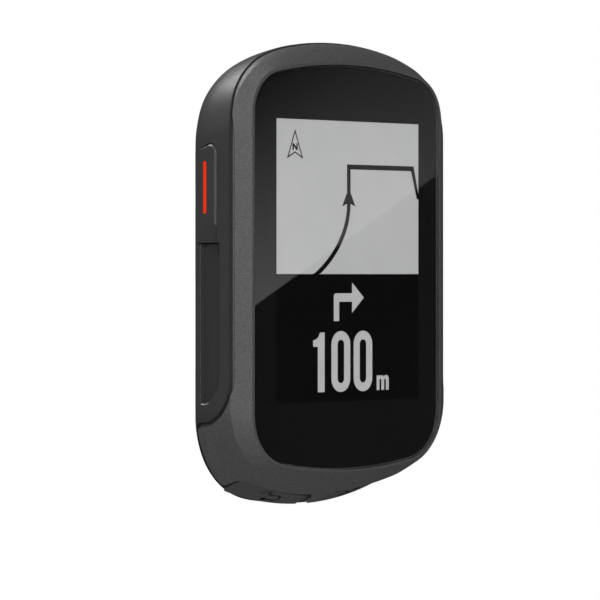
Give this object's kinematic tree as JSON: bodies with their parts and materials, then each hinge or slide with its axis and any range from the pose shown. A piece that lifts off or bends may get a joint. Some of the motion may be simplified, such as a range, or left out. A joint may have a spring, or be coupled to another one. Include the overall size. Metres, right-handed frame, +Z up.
{
  "type": "cycling computer",
  "caption": "Compact upright bike computer: glossy window in a grained bezel, finger scoops, press keys, weather cap and a quarter-turn mount on its back.",
  "frame": {"origin": "centre of the quarter-turn mount's seating face on the back of the case", "axes": "+Z up along the case's long side towards the top of the screen, +Y out of the back along the mount's axis, the screen faces -Y, +X to the reader's right"},
  "size_m": [0.041, 0.016, 0.063],
  "materials": {
    "front_housing": "fine blasted grain",
    "rear_housing": "smooth satin",
    "window": "polished",
    "window_border": "gloss black print",
    "adhesive": "soft tape",
    "display": "reflective panel",
    "light_guide": "clear sheet",
    "pressed_steel": "pressed sheet",
    "ribbon": "amber film",
    "seal": "moulded silicone",
    "board": "solder mask",
    "chip": "moulded epoxy",
    "carrier": "moulded",
    "antenna_metal": "plated",
    "ceramic": "ceramic",
    "battery_wrap": "laminated foil",
    "foam": "closed cell foam",
    "membrane": "breathable film",
    "cap_rubber": "matt moulded rubber",
    "screw": "blackened",
    "switch_case": "pressed tin plate",
    "key": "smooth satin",
    "accent": "satin"
  },
  "bodies": {
    "case": {"front_housing": "front_housing", "rear_housing": "rear_housing", "lens": "window", "window_border": "window_border", "window_adhesive": "adhesive", "display_panel": "display", "backlight": "light_guide", "display_tray": "pressed_steel", "display_ribbon": "ribbon", "case_seal": "seal", "main_board": "board", "shield_can": "pressed_steel", "processor": "chip", "memory_chip": "chip", "positioning_receiver": "chip", "power_chips": "chip", "antenna_carrier": "carrier", "positioning_antenna": "antenna_metal", "radio_antenna": "ceramic", "battery": "battery_wrap", "battery_pad": "foam", "battery_lead": "ribbon", "battery_connector": "carrier", "beeper": "chip", "pressure_sensor": "pressed_steel", "vent_membrane": "membrane", "port_shell": "pressed_steel", "port_tongue": "carrier", "case_screws": "screw", "board_screws": "screw", "tact_switches": "switch_case", "usb_cap_anchor": "cap_rubber"},
    "power_key": {"power_key": "key", "power_key_accent": "accent", "power_key_seal": "seal", "power_key_clip": "pressed_steel", "power_key_plunger": "carrier"},
    "up_key": {"up_key": "key", "up_key_seal": "seal", "up_key_clip": "pressed_steel", "up_key_plunger": "carrier"},
    "down_key": {"down_key": "key", "down_key_seal": "seal", "down_key_clip": "pressed_steel", "down_key_plunger": "carrier"},
    "back_key": {"back_key": "key", "back_key_seal": "seal", "back_key_clip": "pressed_steel", "back_key_plunger": "carrier"},
    "start_key": {"start_key": "key", "start_key_seal": "seal", "start_key_clip": "pressed_steel", "start_key_plunger": "carrier"},
    "usb_cap": {"usb_cap": "cap_rubber"}
  },
  "joints": [
    {"name": "power_key_press", "type": "slide", "parent": "case", "child": "power_key", "axis": [1, 0, 0], "range_m": [0, 0.0004], "stiffness_N_per_m": 800},
    {"name": "up_key_press", "type": "slide", "parent": "case", "child": "up_key", "axis": [-1, 0, 0], "range_m": [0, 0.0004], "stiffness_N_per_m": 800},
    {"name": "down_key_press", "type": "slide", "parent": "case", "child": "down_key", "axis": [-1, 0, 0], "range_m": [0, 0.0004], "stiffness_N_per_m": 800},
    {"name": "back_key_press", "type": "slide", "parent": "case", "child": "back_key", "axis": [0, 0, 1], "range_m": [0, 0.0004], "stiffness_N_per_m": 800},
    {"name": "start_key_press", "type": "slide", "parent": "case", "child": "start_key", "axis": [0, 0, 1], "range_m": [0, 0.0004], "stiffness_N_per_m": 800},
    {"name": "usb_cap_swing", "type": "hinge", "parent": "case", "child": "usb_cap", "pos_m": [0.0053, -0.00455, -0.0241], "axis": [0, 0, -1], "range_deg": [0, 100]}
  ]
}
